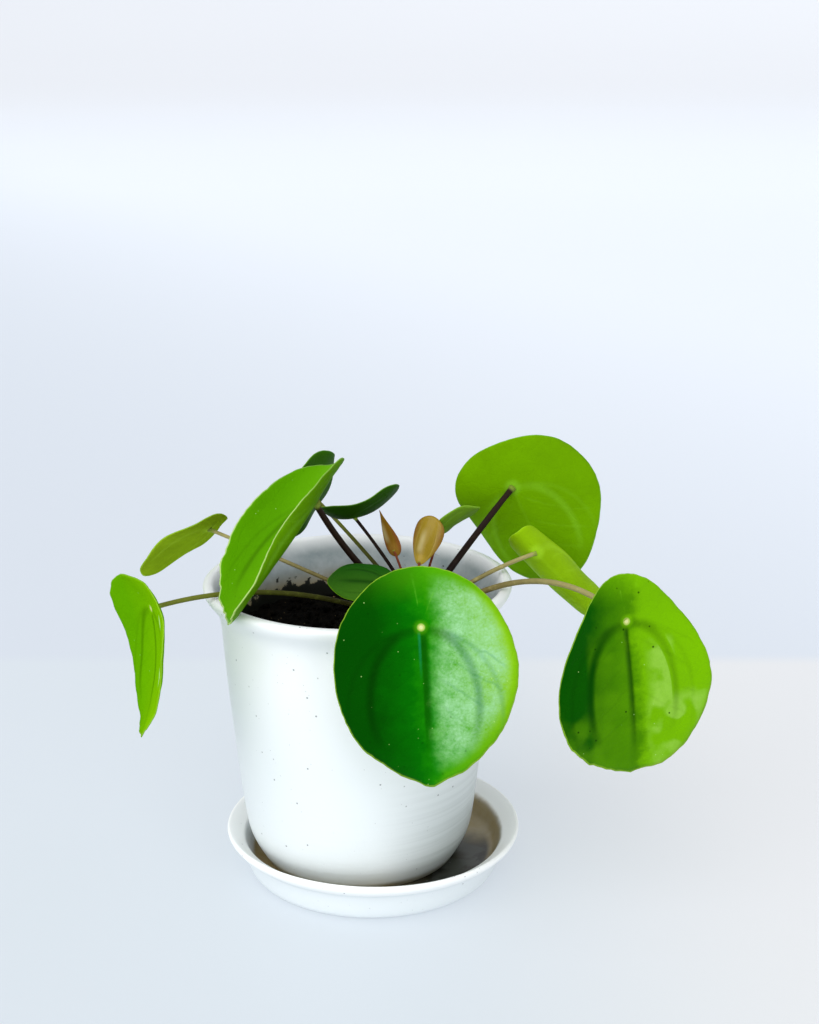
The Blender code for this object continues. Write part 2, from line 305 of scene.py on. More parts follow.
def noiseOn(where, scale, detail=3.0, rough=0.55, warp=0.0):
    inputs = {"Vector": where, "Scale": scale, "Detail": detail, "Roughness": rough}
    inputs["Distortion"] = warp
    return where.node("ShaderNodeTexNoise", inputs, out="Fac")


def cells(where, scale, out="Distance", feature="F1", loose=1.0):
    inputs = {"Vector": where, "Scale": scale, "Randomness": loose}
    return where.node("ShaderNodeTexVoronoi", inputs, out=out, feature=feature)


def asColour(value):
    return value if isinstance(value, Wire) else (*value, 1)


def mixed(share, first, second):
    inputs = {"Factor": share, 6: asColour(first), 7: asColour(second)}
    return share.node("ShaderNodeMix", inputs, out=2, data_type="RGBA")


def stretched(x, y, z):
    return x.node("ShaderNodeCombineXYZ", {"X": x, "Y": y, "Z": z})


def parts(vector):
    return [vector.node("ShaderNodeSeparateXYZ", {0: vector}, out=axis) for axis in "XYZ"]


def connect(tree, shader, **sockets):
    for name, value in sockets.items():
        target = shader.inputs[name.replace("_", " ")]
        if isinstance(value, Wire):
            tree.links.new(value.socket, target)
        else:
            target.default_value = value


def bumped(height, distance, strength=1.0):
    inputs = {"Height": height, "Distance": distance, "Strength": strength}
    return height.node("ShaderNodeBump", inputs, out="Normal")


def specks(where, look):
    def dots(perMetre, size, share):
        near = cells(where, perMetre)
        pick = parts(cells(where, perMetre, out="Color"))[0]
        ragged = noiseOn(where, perMetre * 9, 2.0) * (size * 0.7)
        return (near + ragged).ramp(size * 1.6, size * 0.9) * (pick > share)
    return (dots(look["specksPerMetre"], look["speckSize"], 0.60) * 0.85
            + dots(look["specksPerMetre"] * 2.3, look["speckSize"] * 1.1, 0.82) * 0.5).clamp()


def potGlaze(name, look, centre, isSaucer):
    made, tree, shader = newMaterial(name)
    where = coordinates(tree)
    x, y, z = parts(where)
    inside = attribute(tree, "inside", "Fac")
    dx, dy = x - centre[0], y - centre[1]
    cloud = noiseOn(where, 22, 3.0)
    tone = (cloud - 0.5) * 0.3
    if not isSaucer:  # painted light: the pot is painted lighter towards its lip
        tone = tone + z.ramp(*look["paintedLightToLip"])
    colour = mixed(tone.clamp(), look["shade"], look["bright"])
    if isSaucer:
        reach = (x * x + y * y) ** 0.5
        patch = noiseOn(where, 60, 4.0, 0.6)
        # painted light: the saucer's inner band and lip are painted lighter
        colour = mixed(z.ramp(*look["bandFrom"]) * 0.9, colour, look["band"])
        inner = z.ramp(*look["dishFloor"]) * (reach - z * 0.62).ramp(*look["dishWall"])
        uneven = reach + (patch - 0.5) * 0.003 - x * 0.025 - y * 0.02
        well = inner * uneven.ramp(*look["wellEdge"])
        colour = mixed((well * (0.62 + 0.5 * patch)).clamp(), colour, look["well"])
        # darker at the right front of the well: partly stain, partly painted shadow of the pot,
        # with darker patches in it
        wetAndShadow = inner * reach.ramp(*look["wetAndShadowEdge"]) * x.ramp(0.000, 0.022) * y.ramp(0.016, -0.002)
        colour = mixed((wetAndShadow * (0.75 + 0.4 * patch)).clamp(), colour, look["dirtAndShadow"])
        puddleAndShadow = wetAndShadow * noiseOn(where, 95, 3.0, warp=0.8).ramp(0.48, 0.60)
        colour = mixed((puddleAndShadow * 0.85).clamp(), colour, look["puddleAndShadow"])
    else:
        patch = noiseOn(where, 75, 5.0, 0.62)
        splash = noiseOn(where, 260, 4.0, 0.6)
        low = z.ramp(*look["mudDown"])
        # the inside wall below the lip is painted grey: partly stains, partly painted shade in the
        # hollow
        greyed = inside * z.ramp(*look["greyDown"]) * (0.35 + patch)
        colour = mixed(greyed.clamp(), colour, look["wallGrey"])
        mud = inside * low * (patch + 0.3 * low).ramp(0.42, 0.60)
        leftSide = (dx * -1.0 + dy * 0.6).ramp(-0.01, 0.03)
        colour = mixed((mud * leftSide * 0.9).clamp(), colour, look["tan"])
        grime = inside * (splash + 0.28 * low + 0.14 * z.ramp(0.097, 0.089)).ramp(0.68, 0.74)
        colour = mixed(grime.clamp(), colour, look["dirtAndShadow"])
        # darker at the foot: partly a stain, partly painted shade in the gap at the saucer
        tideAndShade = z.ramp(*look["tideAndShadeDown"]) * (0.4 + 0.9 * patch)
        colour = mixed(tideAndShade.clamp(), colour, look["stainAndShade"])
        # painted shade: the lower right of the outside is painted grey, with the throwing ridges
        # showing in it
        ridges = noiseOn(stretched(dx * 9.0, dy * 9.0, z * 700), 1.0, 3.0)
        paintedShade = (1 - inside) * (dx + dy * -0.35).ramp(0.018, 0.050) * z.ramp(*look["paintedShadeDown"])
        paintedShade = paintedShade * (0.78 + 0.20 * ridges.ramp(0.40, 0.64))
        colour = mixed(paintedShade.clamp(), colour, look["paintedShadeGrey"])
    colour = mixed(specks(where, look), colour, look["speck"])
    throwing = noiseOn(stretched(dx * 3.0, dy * 3.0, z * 420), 1.0, 2.0)
    pitted = noiseOn(where, 900, 2.0)
    broad = noiseOn(where, 35, 2.0)
    height = throwing * z.ramp(*look["ridgesDown"]) * 0.45 + pitted * 0.12 + broad * 0.8
    rough = 0.24 + 0.16 * noiseOn(where, 90, 3.0)
    connect(tree, shader, Base_Color=colour, Roughness=rough, Normal=bumped(height, look["bump"]))
    shader.inputs["IOR"].default_value = 1.48
    return made


pot = {
    "centre": (-0.005, 0.001),
    "sides": 72,
    "levels": 2,
    "outer": [  # radius, height, from the lip down
        (0.0530, 0.1101), (0.0543, 0.1098), (0.0550, 0.1089), (0.0549, 0.1078), (0.0541, 0.1060),
        (0.0526, 0.1042), (0.0508, 0.1020), (0.0496, 0.0994), (0.0489, 0.0960), (0.0485, 0.0920),
        (0.0478, 0.0800), (0.0469, 0.0700), (0.0459, 0.0600), (0.0452, 0.0530), (0.0444, 0.0450),
        (0.0437, 0.0380), (0.0428, 0.0300), (0.0421, 0.0240), (0.0414, 0.0190), (0.0404, 0.0152),
        (0.0390, 0.0122), (0.0376, 0.0095), (0.0362, 0.0073), (0.0354, 0.0058), (0.0345, 0.0053),
    ],
    "inner": [
        (0.0330, 0.0054), (0.0070, 0.0054), (0.0062, 0.0055), (0.0060, 0.0062), (0.0060, 0.0105),
        (0.0062, 0.0112), (0.0070, 0.0113), (0.0320, 0.0113), (0.0350, 0.0120), (0.0372, 0.0150),
        (0.0382, 0.0200), (0.0396, 0.0300), (0.0412, 0.0450), (0.0427, 0.0600), (0.0446, 0.0800),
        (0.0452, 0.0900), (0.0460, 0.0970), (0.0472, 0.1010), (0.0491, 0.1048), (0.0503, 0.1074),
        (0.0512, 0.1092), (0.0520, 0.1099),
    ],
}

saucer = {
    "sides": 72,
    "levels": 2,
    "floor": 0.0050,
    "lip": 0.0155,
    "rise": 0.0007,
    "frontRise": 0.0013,
    "profile": [
        (0.0080, 0.0050), (0.0300, 0.0050), (0.0410, 0.0050), (0.0428, 0.0052), (0.0443, 0.0060),
        (0.0452, 0.0072), (0.0462, 0.0092), (0.0469, 0.0108), (0.0474, 0.0117), (0.0479, 0.0123),
        (0.0490, 0.0129), (0.0510, 0.0143), (0.0524, 0.0152), (0.0531, 0.0155), (0.0536, 0.0153),
        (0.0539, 0.0146), (0.0537, 0.0138), (0.0528, 0.0126), (0.0512, 0.0114), (0.0494, 0.0105),
        (0.0484, 0.0088), (0.0474, 0.0060), (0.0463, 0.0026), (0.0452, 0.0008), (0.0438, 0.0001),
        (0.0420, 0.0000), (0.0300, 0.0000), (0.0080, 0.0000),
    ],
}


def makePot():
    rings = pot["outer"] + pot["inner"] + pot["outer"][:1]
    body = turnedBody(rings, pot["centre"], pot["sides"], pot["levels"], False)
    markInside(body, pot["centre"])
    surface = potGlaze("speckledGlazePot", glaze, pot["centre"], False)
    finished(body, "potBody", surface, "pot")
    print("pot done")


def rimRise(point):  # the hand-thrown rim stands a little higher at the front left
    out = max(hypot(point.x, point.y), 0.001)
    front = max(0.0, (-0.4 * point.x - 0.92 * point.y) / out)
    share = max(0.0, (point.z - saucer["floor"]) / (saucer["lip"] - saucer["floor"]))
    return share * (saucer["rise"] + saucer["frontRise"] * front ** 2)


def makeSaucer():
    body = turnedBody(saucer["profile"], (0, 0), saucer["sides"], saucer["levels"], True)
    for vert in body.data.vertices:
        vert.co.z += rimRise(vert.co)
    markInside(body, (0, 0))
    surface = potGlaze("speckledGlazeSaucer", glaze, (0, 0), True)
    finished(body, "saucerDish", surface, "saucer")
    print("saucer done")


crown = (0.016, 0.003)  # where the stem stands
soilLevel = 0.0895

soil = {
    "level": soilLevel,
    "radius": 0.0449,
    "rings": 46,
    "sides": 150,
    "below": ((-0.004, 0.997), (-0.040, 0.93), (-0.032, 0.89), (-0.0015, 0.82)),  # drop, narrowing
    "crumbs": 420,
    "crumbSize": (0.0004, 0.0016),
    "flakes": 26,
    "mound": (0.0016, 0.03),  # height and reach of the soil drawn up round the stem
    "clear": 0.0055,  # no crumb nearer to the stem
    "seed": 11,
}


def ground(x, y):
    toStem = hypot(x - crown[0], y - crown[1])
    lumps = sin(x * 260) * sin(y * 230 + 1.0) + 0.5 * sin(x * 610 + y * 480)
    high, reach = soil["mound"]
    return soil["level"] + 0.0007 * lumps + high * max(0.0, 1 - toStem / reach)


def crumbly(x, y):
    where = Vector((x, y, 0.3))
    coarse = noise.fractal(where * 190, 0.9, 2.0, 4)
    fine = noise.noise(where * 900)
    return 0.0009 * coarse + 0.00035 * fine


def makeSoil():
    centre = pot["centre"]
    bed = ringedDisc(soil["sides"], soil["rings"], soil["radius"])
    for depth, narrow in soil["below"]:
        bpy.ops.mesh.extrude_edges_move()
        bpy.ops.transform.translate(value=(0, 0, depth))
        bpy.ops.transform.resize(value=(narrow, narrow, 1), center_override=(0, 0, 0))
    bpy.ops.mesh.edge_face_add()
    endEdit()
    for vert in bed.data.vertices:
        x, y = vert.co.x + centre[0], vert.co.y + centre[1]
        top = ground(x, y) if vert.co.z > -0.0001 else soil["level"]
        rough = crumbly(x, y) if vert.co.z > -0.0001 else 0.0
        vert.co = (x, y, vert.co.z + top + rough)
    bed.data.shade_smooth()
    surface = soilSurface()
    finished(bed, "soilBed", surface, "soil")
    makeCrumbs(surface)
    print("soil done")


def soilSurface():
    made, tree, shader = newMaterial("dampSoil")
    where = coordinates(tree)
    grain = noiseOn(where, 700, 5.0, 0.7)
    patch = noiseOn(where, 120, 4.0)
    colour = mixed(grain.ramp(0.35, 0.75), (0.0006, 0.0006, 0.0005), (0.0065, 0.0048, 0.003))
    colour = mixed(patch.ramp(0.62, 0.78) * 0.4, colour, (0.016, 0.012, 0.006))
    fibres = cells(where, 620).ramp(0.16, 0.08) * (parts(cells(where, 620, out="Color"))[1] > 0.9)
    colour = mixed(fibres, colour, (0.20, 0.14, 0.07))
    height = grain + 0.6 * cells(where, 900)
    rough = 0.8 + 0.15 * grain
    connect(tree, shader, Base_Color=colour, Roughness=rough, Normal=bumped(height, 0.0006))
    shader.inputs["Specular IOR Level"].default_value = 0.04
    return made


def makeCrumbs(surface):
    dice = random.Random(soil["seed"])
    centre = pot["centre"]
    made = []
    for step in range(soil["crumbs"]):
        turn = dice.uniform(0, 2 * pi)
        reach = soil["radius"] * dice.uniform(0, 1) ** 0.5 * 0.985
        x, y = centre[0] + reach * cos(turn), centre[1] + reach * sin(turn)
        if hypot(x - crown[0], y - crown[1]) < soil["clear"]:
            continue
        size = dice.uniform(*soil["crumbSize"])
        height = ground(x, y) + size * 0.35
        bpy.ops.mesh.primitive_ico_sphere_add(subdivisions=1, radius=size, location=(x, y, height))
        crumb = bpy.context.active_object
        for vert in crumb.data.vertices:
            vert.co = vert.co * dice.uniform(0.65, 1.2)
        crumb.scale = (dice.uniform(0.7, 1.4), dice.uniform(0.7, 1.2), dice.uniform(0.5, 0.9))
        crumb.rotation_euler = (dice.uniform(0, 3), dice.uniform(0, 3), dice.uniform(0, 3))
        made.append(crumb)
    joined(made, "soilCrumbs", surface)
    flakes = []
    for step in range(soil["flakes"]):
        turn = dice.uniform(3.0, 4.6) if step % 3 else dice.uniform(0, 2 * pi)
        reach = dice.uniform(0.025, 0.0435)
        x, y = centre[0] + reach * cos(turn), centre[1] + reach * sin(turn)
        size = dice.uniform(0.0009, 0.0022)
        bpy.ops.mesh.primitive_cube_add(size=size, location=(x, y, ground(x, y) + 0.0007))
        flake = bpy.context.active_object
        startEdit(flake)
        bpy.ops.mesh.select_all(action="SELECT")
        bpy.ops.mesh.subdivide(number_cuts=1, fractal=0.9, seed=step)
        endEdit()
        flake.scale = (dice.uniform(0.8, 1.6), dice.uniform(0.5, 0.9), 0.3)
        tilt = [dice.uniform(-0.4, 0.4) for _ in range(2)]
        flake.rotation_euler = (*tilt, dice.uniform(0, 3))
        flakes.append(flake)
    joined(flakes, "barkFlakes", flakeSurface())


def joined(objects, name, surface):
    bpy.ops.object.select_all(action="DESELECT")
    for obj in objects:
        obj.select_set(True)
    bpy.context.view_layer.objects.active = objects[0]
    bpy.ops.object.join()
    whole = bpy.context.active_object
    bpy.ops.object.transform_apply(location=True, rotation=True, scale=True)
    whole.data.shade_smooth()
    finished(whole, name, surface, None)
    return whole


def flakeSurface():
    made, tree, shader = newMaterial("barkFlake")
    where = coordinates(tree)
    grain = noiseOn(where, 800, 4.0)
    colour = mixed(grain.ramp(0.35, 0.7), (0.06, 0.035, 0.012), (0.36, 0.23, 0.09))
    connect(tree, shader, Base_Color=colour, Roughness=0.85, Normal=bumped(grain, 0.0003))
    return made


stem = {
    "centre": crown,
    "soil": soilLevel,
    "top": 0.1045,
    "bottom": 0.0600,
    "radius": 0.0042,
    "sides": 28,
    "scarStep": 0.0009,  # height of one leaf scar ring
    "stipules": 11,
    "stipuleSize": (0.0062, 0.0026),
    "stipulesFrom": 0.0945,
    "stipuleStep": 0.0008,
    "stipuleThick": 0.00015,
    "seed": 4,
}


def stemRadius(height):
    share = max(0.0, (height - stem["soil"]) / (stem["top"] - stem["soil"]))
    return stem["radius"] * (1 - 0.35 * share)


def makeStem():
    profile = [(0.0009, stem["top"] + 0.0004), (0.0018, stem["top"])]
    height = stem["top"] - 0.0010
    while height > stem["soil"] - 0.002:
        scar = 0.93 if len(profile) % 3 == 0 else 1.03
        profile.append((stemRadius(height) * scar, height))
        height -= stem["scarStep"]
    profile += [(stem["radius"], 0.0800), (0.0041, 0.0602), (0.0030, stem["bottom"])]
    body = turnedBody(profile, stem["centre"], stem["sides"], 1, True)
    for vert in body.data.vertices:
        out = Vector((vert.co.x - stem["centre"][0], vert.co.y - stem["centre"][1], 0))
        vert.co += out * (0.14 * noise.noise(vert.co * 420) if vert.co.z > 0.088 else 0.0)
    made, tree, shader = newMaterial("stemBark")
    where = coordinates(tree)
    grain = noiseOn(where, 500, 5.0, 0.65)
    colour = mixed(grain.ramp(0.3, 0.7), (0.035, 0.022, 0.012), (0.15, 0.11, 0.05))
    colour = mixed(parts(where)[2].ramp(0.0985, 0.104), colour, (0.16, 0.17, 0.04))
    connect(tree, shader, Base_Color=colour, Roughness=0.75, Normal=bumped(grain, 0.0006))
    finished(body, "stemBody", made, "stem")
    makeStipules()
    print("stem done")


def makeStipules():
    dice = random.Random(stem["seed"])
    length, width = stem["stipuleSize"]
    scales = []
    for step in range(stem["stipules"]):
        bpy.ops.object.select_all(action="DESELECT")
        bpy.ops.mesh.primitive_circle_add(vertices=16, radius=0.5, fill_type="TRIFAN",
                                          location=(0, 0, 0))
        scale = bpy.context.active_object
        startEdit(scale)
        bpy.ops.mesh.select_all(action="SELECT")
        bpy.ops.mesh.subdivide(number_cuts=1)
        endEdit()
        high = stem["stipulesFrom"] + stem["stipuleStep"] * step
        turn = 2.4 * step + dice.uniform(-0.3, 0.3)
        lean = dice.uniform(0.25, 0.6)
        for vert in scale.data.vertices:
            along = vert.co.x + 0.5
            across = vert.co.y * (1 - 0.75 * along)
            up = Vector((sin(lean), 0, cos(lean))) * (along * length)
            bowl = abs(across) ** 2 * 2.2 * width + 0.0006 * along ** 2 * sin(step)
            local = Vector((up.x + stemRadius(high) + 0.0001 - bowl, across * 2 * width, up.z))
            outward = local.x * cos(turn) - local.y * sin(turn)
            sideways = local.x * sin(turn) + local.y * cos(turn)
            vert.co = Vector((outward, sideways, local.z)) + Vector((*stem["centre"], high))
        thicken = scale.modifiers.new("thickness", "SOLIDIFY")
        thicken.thickness = stem["stipuleThick"]
        applyAll(scale)
        scales.append(scale)
    made, tree, shader = newMaterial("paperyStipule")
    where = coordinates(tree)
    grain = noiseOn(where, 650, 4.0)
    colour = mixed(grain.ramp(0.35, 0.7), (0.10, 0.045, 0.02), (0.34, 0.24, 0.10))
    connect(tree, shader, Base_Color=colour, Roughness=0.6, Normal=bumped(grain, 0.0002))
    joined(scales, "stipules", made)


# at: where the stalk meets the blade. tip, face: where the tip and the upper side point.
# seat, egg, skew, blunt, point, drip shape the outline. cup, curl, baseCurl, fold, twist,
# wave, groove bend the blade, with angles in degrees. crinkle, jag: fine waves, a ragged margin.
# rise, through, thick, stalk: where the stalk leaves the stem and passes, its radius and hue.
# deep, fresh, bands: the upper side from left to right, the bands partly the leaf's tone and partly
# painted light.
# under, margin: underside and edge. The painted sheen, quilt, glints, pores, flecks: a reflection
# painted on one half, puffed patches, painted highlights of bright streaks, dots. valley: how far
# the painted shade of the
# midrib lies aside. shine, gloss: gleam and a clear coat.

leaves = {
    "front": dict(
        at=(0.017, -0.074, 0.119), tip=(0.05, -0.15, -1), face=(-0.05, -1, 0.2),
        length=0.069, width=0.058, seat=0.28, egg=0.0, skew=0.02, cup=-26, curl=-20,
        wave=0.0006, rise=0.0925, through=(0.017, -0.040, 0.115), thick=0.0012, stalk="tan",
        crinkle=0.25, jag=0.016, drip=0.028, flecks=0.78, paintedSheen=0.82, pores=0.3, groove=0.0007,
        valley=0.0010,
        bands=[(0.0, (0.0001, 0.052, 0.0001)), (0.24, (0.0001, 0.058, 0.0001)),
               (0.45, (0.0006, 0.118, 0.0004)), (0.53, (0.006, 0.19, 0.0006)),
               (0.60, (0.045, 0.29, 0.002)), (1.0, (0.23, 0.50, 0.006))],
        fresh=(0.075, 0.32, 0.002), under=(0.15, 0.36, 0.001),
    ),
    "right": dict(
        at=(0.085, -0.044, 0.110), tip=(0.13, -0.15, -1), face=(0.35, -1, 0.2),
        length=0.067, width=0.054, seat=0.24, egg=-0.31, skew=0.05, cup=-10, curl=-20,
        wave=0.0010, rise=0.0925, through=(0.055, -0.019, 0.1155), thick=0.0011, stalk="tan",
        crinkle=0.6, jag=0.025, quilt=0.7, pores=0.85, groove=0.0007, valley=-0.0006,
        bands=[(0.0, (0.001, 0.066, 0.0002)), (0.24, (0.002, 0.070, 0.0002)),
               (0.42, (0.038, 0.165, 0.0003)), (0.50, (0.056, 0.20, 0.0004)),
               (0.58, (0.14, 0.38, 0.001)), (1.0, (0.165, 0.43, 0.0006))],
        fresh=(0.15, 0.40, 0.001), under=(0.15, 0.36, 0.001),
    ),
    "back_right": dict(
        at=(0.0517, 0.0358, 0.1337), tip=(0.41, -0.04, -0.89), face=(0.01, 0.96, 0.26),
        length=0.0598, width=0.0526, seat=0.29, egg=0.21, skew=-0.13, cup=58, curl=14, baseCurl=7,
        blunt=0.88, point=0, twist=0.31, wave=0.0012,
        rise=0.098, through=(0.036, 0.020, 0.118), thick=0.0013,
        crinkle=0.3, jag=0.008, deep=(0.03, 0.16, 0.002), fresh=(0.08, 0.30, 0.003),
        under=(0.142, 0.345, 0.0003), groove=0.0003, stalk="dark",
    ),
    "middle_right": dict(
        at=(0.0588, 0.0091, 0.1169), tip=(0.64, 0.18, -0.72), face=(0.28, 0.9, -0.31),
        length=0.0477, width=0.0341, seat=0.22, egg=-0.3, skew=0.3, cup=147, curl=8, baseCurl=9,
        fold=0.5, blunt=0.76, point=0, wave=0.0006,
        rise=0.0965, through=(0.039, 0.005, 0.109), thick=0.0009,
        crinkle=0.3, jag=0.01, deep=(0.04, 0.18, 0.002), fresh=(0.09, 0.30, 0.003),
        under=(0.27, 0.50, 0.004), groove=0.0002, stalk="tan",
    ),
    "left": dict(
        at=(-0.0190, -0.0168, 0.1431), tip=(-0.489, -0.515, -0.728), face=(-0.873, -0.448, -0.043),
        length=0.0690, width=0.0379, seat=0.262, egg=0.0, skew=-0.235, cup=160, curl=7.8,
        baseCurl=-52, blunt=0.93, point=0, wave=0.0010,
        rise=0.0970, through=(-0.005, -0.008, 0.119), thick=0.0013,
        crinkle=0.5, jag=0.045, flecks=0.72, deep=(0.085, 0.29, 0.0005), fresh=(0.145, 0.42, 0.001),
        margin=(0.52, 0.68, 0.24), under=(0.10, 0.27, 0.0008), groove=0.0003, stalk="dark",
    ),
    "far_left": dict(
        at=(-0.0618, 0.0349, 0.1182), tip=(-0.8, 0.08, -0.6), face=(-0.39, 0.41, 0.83),
        length=0.038, width=0.0365, seat=0.21, egg=-0.10, skew=-0.11, cup=15, curl=-6,
        baseCurl=-10, blunt=1.15, point=0.05, wave=0.0006,
        rise=0.0945, through=(-0.025, 0.015, 0.1085), thick=0.0008,
        crinkle=0.3, jag=0.01, deep=(0.08, 0.22, 0.002), fresh=(0.13, 0.32, 0.003),
        under=(0.26, 0.42, 0.010), shine=0.0, groove=0.0002, stalk="tan",
    ),
    "low_left": dict(
        at=(-0.0741, -0.0290, 0.1092), tip=(0.195, -0.037, -0.973), face=(-0.90, -0.427, 0.137),
        length=0.0570, width=0.0515, seat=0.213, egg=0.38, skew=-0.04, cup=26.7, curl=43,
        baseCurl=56, blunt=0.565, point=0, twist=0.28, wave=0.0006,
        rise=0.0925, through=(-0.031, -0.014, 0.1095), thick=0.0010, shine=0.0,
        crinkle=0.7, jag=0.025, deep=(0.105, 0.34, 0.0008), fresh=(0.19, 0.46, 0.001),
        glints=[(0.0130, 0.0020, 0.1, 0.0030, 0.0008), (0.0105, 0.0220, -0.5, 0.0045, 0.0011)],
        under=(0.15, 0.37, 0.001), groove=0.0003, stalk="olive",
    ),
    "back_left": dict(
        at=(-0.0235, 0.036, 0.1312), tip=(-0.35, 0.1, -0.9), face=(-0.7, 0.5, 0.4),
        length=0.036, width=0.029, seat=0.5, egg=0.0, skew=0.0, cup=20, curl=0,
        wave=0.0006, rise=0.0980, through=(-0.006, 0.025, 0.1155), thick=0.0008,
        crinkle=0.3, jag=0.01, deep=(0.015, 0.10, 0.002), fresh=(0.05, 0.19, 0.003),
        under=(0.035, 0.14, 0.002), groove=0.0002, stalk="olive",
    ),
    "back": dict(
        at=(-0.0064, 0.0124, 0.1295), tip=(0.98, 0.15, 0.17), face=(0.45, 0.42, 0.8),
        length=0.0328, width=0.0289, seat=0.40, egg=-0.23, skew=0.0, cup=26, curl=64, baseCurl=109,
        blunt=0.61, point=0, wave=0.0004,
        rise=0.1015, through=(0.004, 0.011, 0.115), thick=0.0007,
        crinkle=0.2, jag=0.01, deep=(0.015, 0.10, 0.004), fresh=(0.04, 0.17, 0.006),
        under=(0.026, 0.110, 0.002), groove=0.0002, stalk="dark",
    ),
    "small": dict(
        at=(0.005, -0.018, 0.1142), tip=(-0.95, -0.1, 0.15), face=(0.0, -0.6, 0.8),
        length=0.024, width=0.016, seat=0.2, egg=0.0, skew=0.0, cup=-20, curl=-20,
        wave=0.0003, rise=0.1005, through=(0.009, -0.010, 0.1092), thick=0.0007,
        crinkle=0.1, jag=0.005, deep=(0.012, 0.085, 0.005), fresh=(0.045, 0.150, 0.010),
        margin=(0.16, 0.36, 0.01), under=(0.10, 0.24, 0.004), groove=0.0001, stalk="tan",
    ),
    "bronze": dict(
        at=(0.017, 0.001, 0.116), tip=(0.25, 0.1, 0.95), face=(0.3, 0.9, 0),
        length=0.0175, width=0.0112, seat=0.06, egg=-0.45, skew=0.0, cup=80, curl=10,
        wave=0.0, rise=0.1035, through=(0.0165, -0.001, 0.111), thick=0.0006,
        crinkle=0.0, jag=0.0, deep=(0.20, 0.14, 0.010), fresh=(0.40, 0.32, 0.07),
        margin=(0.22, 0.09, 0.02), under=(0.36, 0.24, 0.022), gloss=0.35, groove=0.0001,
        stalk="red",
    ),
    "young": dict(
        at=(0.024, 0.009, 0.124), tip=(0.85, 0.1, 0.75), face=(-0.3, 0.5, 0.7),
        length=0.018, width=0.0150, seat=0.06, egg=0.0, skew=0.0, cup=40, curl=-20,
        wave=0.0003, rise=0.1035, through=(0.021, 0.007, 0.114), thick=0.0005,
        crinkle=0.1, jag=0.0, deep=(0.06, 0.19, 0.002), fresh=(0.11, 0.29, 0.004),
        under=(0.14, 0.29, 0.015), groove=0.0001, stalk="red",
    ),
    "bud": dict(
        at=(0.008, 0.006, 0.119), tip=(-0.35, 0.1, 0.93), face=(0.4, 0.9, 0),
        length=0.0172, width=0.0048, seat=0.15, egg=0.85, skew=0.0, cup=30, curl=0,
        wave=0.0, rise=0.1035, through=(0.0105, 0.004, 0.112), thick=0.0005,
        crinkle=0.0, jag=0.0, deep=(0.17, 0.085, 0.008), fresh=(0.30, 0.17, 0.02),
        margin=(0.20, 0.06, 0.02), under=(0.24, 0.12, 0.010), groove=0.0001, stalk="red",
    ),
}

sheet = {
    "thickness": 0.0008,
    "rings": 30,
    "sides": 120,
    "smallRings": 18,
    "smallSides": 72,
    "smallBelow": 0.03,  # length of a leaf that gets the fewer rings
    "young": ("bronze", "bud"),
    "stalkSteps": 33,
    "taper": 0.85,
}

bladeFinish = {  # sizes and colours of what every blade shows
    "midrib": 0.0009,
    "valley": 0.0019,
    "seatGlow": (0.0030, 0.0012),
    "seatRing": (0.00155, 0.0009),
    "seatCore": (0.0009, 0.0004),
    "seatLime": (0.42, 0.52, 0.12),
    "seatCream": (0.66, 0.68, 0.34),
    "fleck": (0.42, 0.66, 0.20),
    "flecksPerMetre": 420,
    "poresPerMetre": 260,
    "netPerMetre": 330,
    "ribsPerMetre": 112,
    "rim": (0.984, 0.994),  # shares of the way to the edge
    "bump": 0.00028,
}

stalkColours = {  # near the soil, then near the blade
    "tan": ((0.13, 0.095, 0.028), (0.36, 0.32, 0.13)),
    "olive": ((0.035, 0.030, 0.008), (0.15, 0.17, 0.02)),
    "dark": ((0.010, 0.004, 0.004), (0.020, 0.010, 0.006)),
    "red": ((0.13, 0.015, 0.012), (0.20, 0.05, 0.02)),
}


def axesOf(leaf):
    tip = Vector(leaf["tip"]).normalized()
    face = Vector(leaf["face"])
    face = (face - face.dot(tip) * tip).normalized()
    return tip, face.cross(tip), face


def rolled(along, height, degrees, span):
    if not degrees:
        return along, height
    rate = radians(degrees) / span
    turn = along * rate
    return sin(turn) * (1 / rate - height), 1 / rate - cos(turn) * (1 / rate - height)


def bladePoint(leaf, share, turn, seed):
    length, width = leaf["length"], leaf["width"]
    point = leaf.get("point", 0.03) * max(0.0, cos(turn)) ** 12
    point += leaf.get("drip", 0.0) * max(0.0, cos(turn)) ** 120
    along = length * (0.5 - leaf["seat"] + 0.5 * cos(turn) + point)
    full = copysign(abs(sin(turn)) ** leaf.get("blunt", 1.0), sin(turn))
    across = width / 2 * (full + leaf["skew"] * sin(turn) ** 2)
    across *= 1 - leaf["egg"] * cos(turn)
    rim = Vector((cos(turn), sin(turn), seed))
    ragged = 0.6 * noise.noise(rim * 5) + 0.5 * noise.noise(rim * 13)
    reach = share * (1 + leaf["jag"] * ragged * share ** 6)
    along, across = along * reach, across * reach
    place = (across, along, share)
    height = leaf["wave"] * share ** 3 * sin(5 * turn)
    height += 0.025 * width * share * (1 - (1 - share) ** 2)
    height += leaf.get("fold", 0.0) * (hypot(across, 0.002) - 0.002)
    height += leaf.get("twist", 0.0) * across * along / length
    spot = Vector((across, along, seed * 0.01))
    ripple = noise.noise(spot * 90) + 0.4 * noise.noise(spot * 260)
    height += 0.001 * leaf["crinkle"] * ripple * share ** 2
    if along > 0:  # the midrib is a shallow groove from the stalk to the tip
        fade = min(1.0, along / 0.004) * (1 - 0.6 * along / length)
        height -= leaf["groove"] * exp(-(across / 0.0013) ** 2) * fade
    height -= 0.0004 * exp(-(hypot(across, along) / 0.0022) ** 2)
    across, height = rolled(across, height, leaf["cup"], width)
    curl = leaf["curl"] if along >= 0 else leaf.get("baseCurl", leaf["curl"])
    along, height = rolled(along, height, curl, length)
    tip, side, face = axesOf(leaf)
    return Vector(leaf["at"]) + along * tip + across * side + height * face, place


